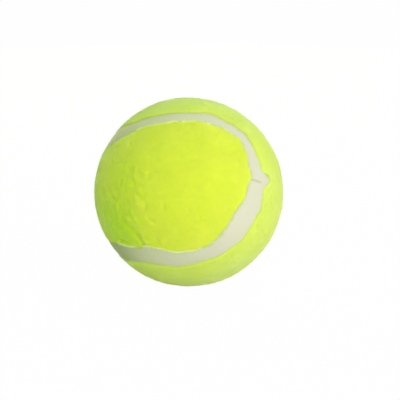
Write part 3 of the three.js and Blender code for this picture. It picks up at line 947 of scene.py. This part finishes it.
def make_piece(name, points, triangles, material, values=None, cells=None, normals=None):
    """A smooth mesh in metres that rides on the ball, with values for its points, a map, and its
    points' normals."""
    mesh = bpy.data.meshes.new(name)
    mesh.vertices.add(len(points))
    mesh.vertices.foreach_set("co", points.astype(np.float32).ravel())
    mesh.loops.add(triangles.size)
    mesh.loops.foreach_set("vertex_index", triangles.astype(np.int32).ravel())
    mesh.polygons.add(len(triangles))
    mesh.polygons.foreach_set("loop_start", np.arange(0, triangles.size, 3, dtype=np.int32))
    mesh.update(calc_edges=True)
    mesh.shade_smooth()
    for label, value in (values or {}).items():
        layer = mesh.attributes.new(label, "FLOAT", "POINT")
        layer.data.foreach_set("value", value.astype(np.float32).ravel())
    if cells is not None:
        layer = mesh.uv_layers.new(name="OFBake")
        layer.uv.foreach_set("vector", cells[triangles.ravel()].astype(np.float32).ravel())
    if normals is not None:
        mesh.normals_split_custom_set_from_vertices(normals)
    mesh.materials.append(material)
    piece = place_object(name, mesh)
    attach(piece, "root")
    return piece


def set_sockets(tree, node, sockets):
    """Gives a node's sockets values, or links from other sockets, by name or number."""
    for name, value in sockets.items():
        if isinstance(value, bpy.types.NodeSocket):
            tree.links.new(value, node.inputs[name])
        else:
            node.inputs[name].default_value = value


def add(tree, kind, sockets=None, **settings):
    """Adds a shader node, with its settings, and its sockets' values or links."""
    node = tree.nodes.new("ShaderNode" + kind)
    node.location = (200 * len(tree.nodes), -120 * (len(tree.nodes) % 3))
    for name, value in settings.items():
        setattr(node, name, value)
    set_sockets(tree, node, sockets or {})
    return node


def combined(tree, operation, first, second):
    """Two values multiplied, or the greater of the two."""
    return add(tree, "Math", {0: first, 1: second}, operation=operation).outputs[0]


def bumped(tree, height, strength, distance):
    """The surface's normal with a bump of that height in it."""
    sockets = {"Height": height, "Strength": strength, "Distance": distance}
    return add(tree, "Bump", sockets).outputs["Normal"]


def mixed(tree, share, first, second):
    """The mix of two colours: the first at share 0 and the second at share 1."""
    return add(tree, "Mix", {0: share, 6: first, 7: second}, data_type="RGBA").outputs[2]


def opaque(colour):
    """A colour with full cover, as shader sockets take it."""
    return (*colour, 1.0)


def new_group(name, inputs, outputs):
    """An empty node group with number inputs, and outputs of the kinds given: the group, its inputs
    and its outputs."""
    group = bpy.data.node_groups.new(name, "ShaderNodeTree")
    for label, value in inputs.items():
        socket = group.interface.new_socket(
            name=label, in_out="INPUT", socket_type="NodeSocketFloat")
        socket.default_value = value
    for label, kind in outputs.items():
        group.interface.new_socket(name=label, in_out="OUTPUT", socket_type="NodeSocket" + kind)
    start = group.nodes.new("NodeGroupInput")
    end = group.nodes.new("NodeGroupOutput")
    end.location = (2200, 0)
    return group, start.outputs, end.inputs


def grain_group():
    """Soft patches and a fine grain. Tone is a mask of both, and Height is the grain for a bump."""
    if "Grain" in bpy.data.node_groups:
        return bpy.data.node_groups["Grain"]
    inputs = {"Patch Scale": 200.0, "Grain Scale": 2000.0, "Grain Share": 0.5}
    group, given, result = new_group("Grain", inputs, {"Tone": "Float", "Height": "Float"})
    place = add(group, "TexCoord").outputs["Object"]
    patch = add(group, "TexNoise", {
        "Vector": place, "Scale": given["Patch Scale"], "Detail": 3.0, "Roughness": 0.55})
    grain = add(group, "TexNoise", {
        "Vector": place, "Scale": given["Grain Scale"], "Detail": 2.0, "Roughness": 0.6})
    both = add(group, "Mix", {
        0: given["Grain Share"], 2: patch.outputs["Fac"], 3: grain.outputs["Fac"]})
    tone = add(group, "MapRange", {
        "Value": both.outputs[0], "From Min": 0.36, "From Max": 0.64}, clamp=True)
    group.links.new(tone.outputs["Result"], result["Tone"])
    group.links.new(grain.outputs["Fac"], result["Height"])
    return group


def value_of(tree, attribute):
    """A value that the mesh's points carry."""
    return add(tree, "Attribute", attribute_name=attribute).outputs["Fac"]


def felt_colour_group(colours):
    """The felt's colour: from bright to deep, with panel B painted paler as sheen and the shaded
    left side painted greener as shade, pale tips, and a ragged cut edge with painted shade, or pale
    where it is frayed, partly as a painted highlight.

    The edge's mask is 1 at the edge and 0 a width in from it.
    """
    if "Felt Colour" in bpy.data.node_groups:
        return bpy.data.node_groups["Felt Colour"]
    inputs = {"Deep": 0.0, "Tip": 0.0, "Edge Width": 0.0005}
    group, given, result = new_group("Felt Colour", inputs, {"Colour": "Color"})
    face = mixed(group, given["Deep"], opaque(colours.felt_bright), opaque(colours.felt_deep))
    # Painted sheen: panel B paler all over.
    face = mixed(group, value_of(group, "faded"), face, opaque(colours.felt_faded))
    # Painted shade: greener and darker on the shaded left side.
    face = mixed(group, value_of(group, "green"), face, opaque(colours.felt_green))
    face = mixed(group, given["Tip"], face, opaque(colours.felt_tips))
    frayed = value_of(group, "frayed")
    # The cut edge: painted shade where it is not frayed; where it is frayed, pale fibres with a
    # painted highlight.
    cut = mixed(group, frayed, opaque(colours.felt_dull), opaque(colours.felt_edge))
    place = add(group, "TexCoord").outputs["Object"]
    ragged = add(group, "TexNoise", {"Vector": place, "Scale": 450.0, "Detail": 2.0})
    reach = add(group, "MapRange", {
        "Value": ragged.outputs["Fac"], "From Min": 0.3, "From Max": 0.7, "To Min": 0.2,
        "To Max": 1.8}, clamp=True)
    width = combined(group, "MULTIPLY", reach.outputs[0], given["Edge Width"])
    mask = add(group, "MapRange", {
        "Value": value_of(group, "from_edge"), "From Min": 0.0, "From Max": width,
        "To Min": 1.0, "To Max": 0.0}, clamp=True, interpolation_type="SMOOTHSTEP")
    group.links.new(mixed(group, mask.outputs[0], face, cut), result["Colour"])
    return group


def use_group(tree, group, sockets):
    """Places a node group in a material, with its own values and links."""
    return add(tree, "Group", sockets, node_tree=group).outputs


def use_grain(tree, patch_scale, grain_scale, share):
    """Places the grain in a material: the scales of its patches and its grain, and the grain's
    share of the tone."""
    return use_group(tree, grain_group(), {
        "Patch Scale": patch_scale, "Grain Scale": grain_scale, "Grain Share": share})


def new_material(name):
    """An empty material with its surface node."""
    material = bpy.data.materials.new(name)
    material.use_nodes = True
    tree = material.node_tree
    return material, tree, tree.nodes["Principled BSDF"]


def felt_material(colours):
    """Felt under its nap: patches of deeper colour and a fine rough face."""
    material, tree, surface = new_material("felt")
    grain = use_grain(tree, patch_scale=130.0, grain_scale=1500.0, share=0.5)
    felt = use_group(tree, felt_colour_group(colours), {
        "Deep": grain["Tone"], "Edge Width": 0.75 * MM})
    normal = bumped(tree, grain["Height"], strength=0.6, distance=0.08 * MM)
    set_sockets(tree, surface, {"Base Color": felt["Colour"], "Normal": normal, **FELT_SHEEN})
    return material


def nap_material(colours):
    """Fibres: each has its own tone between bright and deep, and hairs pale towards their tips."""
    material, tree, surface = new_material("nap")
    grain = use_grain(tree, patch_scale=130.0, grain_scale=900.0, share=0.3)
    deep = combined(tree, "MULTIPLY", value_of(tree, "tone"), grain["Tone"])
    felt = use_group(tree, felt_colour_group(colours), {
        "Deep": deep, "Tip": value_of(tree, "pale"), "Edge Width": 0.65 * MM})
    set_sockets(tree, surface, {"Base Color": felt["Colour"], **FELT_SHEEN})
    return material


def strip_material(colours):
    """The seam strip's rubber: warm patches, a satin face, a faint grain, and dust, with painted
    shade in its crease and on its shaded side.
    """
    material, tree, surface = new_material("seam_rubber")
    grain = use_grain(tree, patch_scale=160.0, grain_scale=1300.0, share=0.25)
    clean = mixed(tree, grain["Tone"], opaque(colours.strip_pale), opaque(colours.strip_warm))
    # Dust, and painted shade in the crease and on the shaded side, in one colour.
    colour = mixed(tree, value_of(tree, "dust"), clean, opaque(colours.strip_dust))
    normal = bumped(tree, grain["Height"], strength=0.3, distance=0.04 * MM)
    set_sockets(tree, surface, {
        "Base Color": colour, "Normal": normal, "Roughness": 0.6, "Specular IOR Level": 0.3})
    return material


def hidden_material(name, colour, patch_scale, grain_scale, depth, roughness):
    """The core's buffed rubber or the dried cement: a colour that grain and patches bring down to
    0.7 of itself, and a bump from the same grain."""
    material, tree, surface = new_material(name)
    grain = use_grain(tree, patch_scale, grain_scale, share=0.5)
    darker = opaque([0.7 * share for share in colour])
    tint = mixed(tree, grain["Tone"], opaque(colour), darker)
    normal = bumped(tree, grain["Height"], strength=0.5, distance=depth)
    set_sockets(tree, surface, {"Base Color": tint, "Normal": normal, "Roughness": roughness})
    return material


def dress(nodes, material):
    """Gives packed nodes a material."""
    for name in nodes:
        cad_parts[name].data.materials.clear()
        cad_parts[name].data.materials.append(material)


def seen_white(tree):
    """1 where the camera, a mirror or glass looks, and 0 where other light comes from."""
    path = add(tree, "LightPath").outputs
    seen = combined(tree, "MAXIMUM", path["Is Camera Ray"], path["Is Glossy Ray"])
    return combined(tree, "MAXIMUM", seen, path["Is Transmission Ray"])


def emptied(owner):
    """The node tree of a material or of the world, with no nodes in it."""
    owner.use_nodes = True
    owner.node_tree.nodes.clear()
    return owner.node_tree


def put_out(tree, share, plain, white_kind, output_kind):
    """Puts out a plain shader, of which a share is seen as pure white."""
    white = add(tree, white_kind, {"Color": (1, 1, 1, 1), "Strength": 1.0}).outputs[0]
    both = add(tree, "MixShader", {0: share, 1: plain, 2: white}).outputs[0]
    add(tree, output_kind, {"Surface": both})


def set_floor(stage):
    """A pale floor at the ball's lowest point, seen as plain white but for a soft shadow."""
    low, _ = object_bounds()
    mesh = bpy.data.meshes.new("floor")
    far = FLOOR_REACH
    corners = [(-far, -far, low.z), (far, -far, low.z), (far, far, low.z), (-far, far, low.z)]
    mesh.from_pydata(corners, [], [(0, 1, 2, 3)])
    floor = place_object("floor", mesh)
    floor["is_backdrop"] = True
    material = bpy.data.materials.new("floor")
    tree = emptied(material)
    share = combined(tree, "MULTIPLY", seen_white(tree), stage.floor_white)
    plain = add(tree, "BsdfDiffuse", {"Color": opaque(FLOOR_COLOUR)}).outputs[0]
    put_out(tree, share, plain, "Emission", "OutputMaterial")
    mesh.materials.append(material)


def set_room(stage):
    """Soft light from all round, stronger from the key's side, which the camera sees as white.

    Its strength is the room's strength times one and the slope times the cosine of the angle
    between its direction and the key's.
    """
    world = bpy.data.worlds.new("room")
    bpy.context.scene.world = world
    tree = emptied(world)
    seen = seen_white(tree)
    way = add(tree, "TexCoord").outputs["Generated"]
    near = add(tree, "VectorMath", {0: way, 1: facing(*KEY_PLACE)}, operation="DOT_PRODUCT")
    strength = add(tree, "MapRange", {
        "Value": near.outputs["Value"], "From Min": -1.0, "From Max": 1.0,
        "To Min": stage.room_strength * (1 - stage.room_slope),
        "To Max": stage.room_strength * (1 + stage.room_slope)}).outputs[0]
    room = add(tree, "Background", {
        "Color": opaque(stage.room_colour), "Strength": strength}).outputs[0]
    put_out(tree, seen, room, "Background", "OutputWorld")


def facing(azimuth, height):
    """The direction at an azimuth and height in degrees. Azimuth 0 is the camera's side and 90 is
    to the right."""
    a, h = math.radians(azimuth), math.radians(height)
    return Vector((math.sin(a) * math.cos(h), -math.cos(a) * math.cos(h), math.sin(h)))


def aim_at_ball(thing, way, distance):
    """Puts a lamp or the camera at a distance from the ball in a direction, looking back at it."""
    thing.location = way * distance
    thing.rotation_euler = (-way).to_track_quat("-Z", "Y").to_euler()


def set_lamp(stage, name):
    """A round lamp that faces the ball from its azimuth and height.

    A white face that looks at it gives back its strength: the power is pi squared times the sum of
    the squared distance and the squared radius, times the strength.
    """
    place, width = LAMPS[name]
    light = bpy.data.lights.new(name, "AREA")
    light.shape = "DISK"
    light.size = width
    light.color = getattr(stage, name + "_colour")
    power = math.pi**2 * (LAMP_DISTANCE**2 + width**2 / 4)
    light.energy = power * getattr(stage, name + "_strength")
    lamp = place_object(name, light)
    aim_at_ball(lamp, facing(*place), LAMP_DISTANCE)
    lamp.visible_camera = False


def set_camera(stage, sizes):
    """The camera at the photograph's angle. Its focal length gives the ball its size there: the
    outline's tangent is the radius over the distance, so pixels grow with the root of the squared
    distance in radii less one. Its shift gives the ball its place."""
    camera = bpy.data.cameras.new("camera")
    radii = stage.camera_distance / sizes.ball_radius
    camera.sensor_width = SENSOR
    camera.lens = stage.ball_pixels * math.sqrt(radii**2 - 1) * SENSOR / PHOTO_PIXELS
    camera.shift_x = 0.5 - stage.ball_place[0] / PHOTO_PIXELS
    camera.shift_y = stage.ball_place[1] / PHOTO_PIXELS - 0.5
    camera.clip_start, camera.clip_end = 0.01, 20
    view = place_object("camera", camera)
    way = Vector((0, -math.cos(stage.camera_height), math.sin(stage.camera_height)))
    aim_at_ball(view, way, stage.camera_distance)
    bpy.context.scene.camera = view


class DOGBALL_OT_dress_core(bpy.types.Operator):
    """Give the core's halves and the cement their finishes"""

    bl_idname = "dogball.dress_core"
    bl_label = "Dress Core"

    def execute(self, context):
        colours = context.scene.ball_colours
        rubber = hidden_material(
            "core_rubber", colours.core_rubber, patch_scale=300, grain_scale=1600,
            depth=0.05 * MM, roughness=0.8)
        cement = hidden_material(
            "cement", colours.cement, patch_scale=220, grain_scale=900,
            depth=0.08 * MM, roughness=0.45)
        dress(["core_half_lower", "core_half_upper"], rubber)
        dress(["core_joint_cement", "cover_cement_a", "cover_cement_b"], cement)
        return {"FINISHED"}


class DOGBALL_OT_lay_strip(bpy.types.Operator):
    """Lay the rubber strip in the seam"""

    bl_idname = "dogball.lay_strip"
    bl_label = "Lay Seam Strip"

    def execute(self, context):
        cover = Cover(context.scene.cover_sizes)
        points, triangles, dust = seam_strip(cover)
        material = strip_material(context.scene.ball_colours)
        piece = make_piece(
            "seam_rubber_strip", cover.turned(points), triangles, material,
            {"dust": dust})
        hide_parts("seam_strip")
        return {"FINISHED"}


class DOGBALL_OT_lay_felt(bpy.types.Operator):
    """Lay the two panels of felt"""

    bl_idname = "dogball.lay_felt"
    bl_label = "Lay Felt"

    def execute(self, context):
        cover = Cover(context.scene.cover_sizes)
        material = felt_material(context.scene.ball_colours)
        for letter, side in PANELS.items():
            points, triangles, values = felt_panel(cover, side)
            piece = make_piece(
                f"felt_{letter}", cover.turned(points), triangles, material, values)
            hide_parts(f"felt_panel_{letter}")
        return {"FINISHED"}


class DOGBALL_OT_raise_nap(bpy.types.Operator):
    """Raise the nap on the felt"""

    bl_idname = "dogball.raise_nap"
    bl_label = "Raise Nap"

    def execute(self, context):
        cover = Cover(context.scene.cover_sizes)
        nap = context.scene.nap_sizes
        material = nap_material(context.scene.ball_colours)
        for letter, side in PANELS.items():
            points, normals, values = nap_fibres(cover, nap, side)
            order = np.argsort(points[:, 0] @ outward_of(side))
            for part, chosen in enumerate(np.array_split(order, nap.parts)):
                first = len(FIBRE_MAP) * np.arange(len(chosen))[:, None, None]
                make_piece(
                    f"nap_{letter}_{part + 1}", cover.turned(points[chosen].reshape(-1, 3)),
                    (first + FIBRE_TRIANGLES).reshape(-1, 3), material,
                    {name: value[chosen] for name, value in values.items()},
                    fibre_cells(len(chosen)).reshape(-1, 2),
                    normals[chosen].reshape(-1, 3) @ cover.turn.T)
        return {"FINISHED"}


class DOGBALL_OT_set_stage(bpy.types.Operator):
    """Set the floor, the light and the camera"""

    bl_idname = "dogball.set_stage"
    bl_label = "Set Stage"

    def execute(self, context):
        stage = context.scene.stage_settings
        context.scene.view_settings.view_transform = "Standard"
        set_camera(stage, context.scene.cover_sizes)
        set_floor(stage)
        set_room(stage)
        for name in LAMPS:
            set_lamp(stage, name)
        return {"FINISHED"}


OPERATORS = (
    DOGBALL_OT_dress_core,
    DOGBALL_OT_lay_strip,
    DOGBALL_OT_lay_felt,
    DOGBALL_OT_raise_nap,
    DOGBALL_OT_set_stage,
)
SETTINGS = {
    "cover_sizes": CoverSizes,
    "nap_sizes": NapSizes,
    "ball_colours": BallColours,
    "stage_settings": StageSettings,
}


class DOGBALL_PT_panel(bpy.types.Panel):
    """Settings and steps of the dog ball"""

    bl_idname = "DOGBALL_PT_panel"
    bl_label = "Dog Ball"
    bl_space_type = "VIEW_3D"
    bl_region_type = "UI"
    bl_category = "Dog Ball"

    def draw(self, context):
        for operator in OPERATORS:
            self.layout.operator(operator.bl_idname)
        for name, kind in SETTINGS.items():
            box = self.layout.box()
            box.label(text=kind.__doc__)
            for setting in kind.__annotations__:
                box.prop(getattr(context.scene, name), setting)


def register():
    """Makes the settings, the operators and the panel known to Blender."""
    for kind in (*SETTINGS.values(), *OPERATORS, DOGBALL_PT_panel):
        bpy.utils.register_class(kind)
    for name, kind in SETTINGS.items():
        setattr(bpy.types.Scene, name, PointerProperty(type=kind))


def unregister():
    """Takes them away again."""
    for name in SETTINGS:
        delattr(bpy.types.Scene, name)
    for kind in reversed((*SETTINGS.values(), *OPERATORS, DOGBALL_PT_panel)):
        bpy.utils.unregister_class(kind)


def main():
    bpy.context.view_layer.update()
    register()
    bpy.ops.dogball.dress_core()
    bpy.ops.dogball.lay_strip()
    bpy.ops.dogball.lay_felt()
    bpy.ops.dogball.raise_nap()
    bpy.ops.dogball.set_stage()


if __name__ == "__main__":
    main()
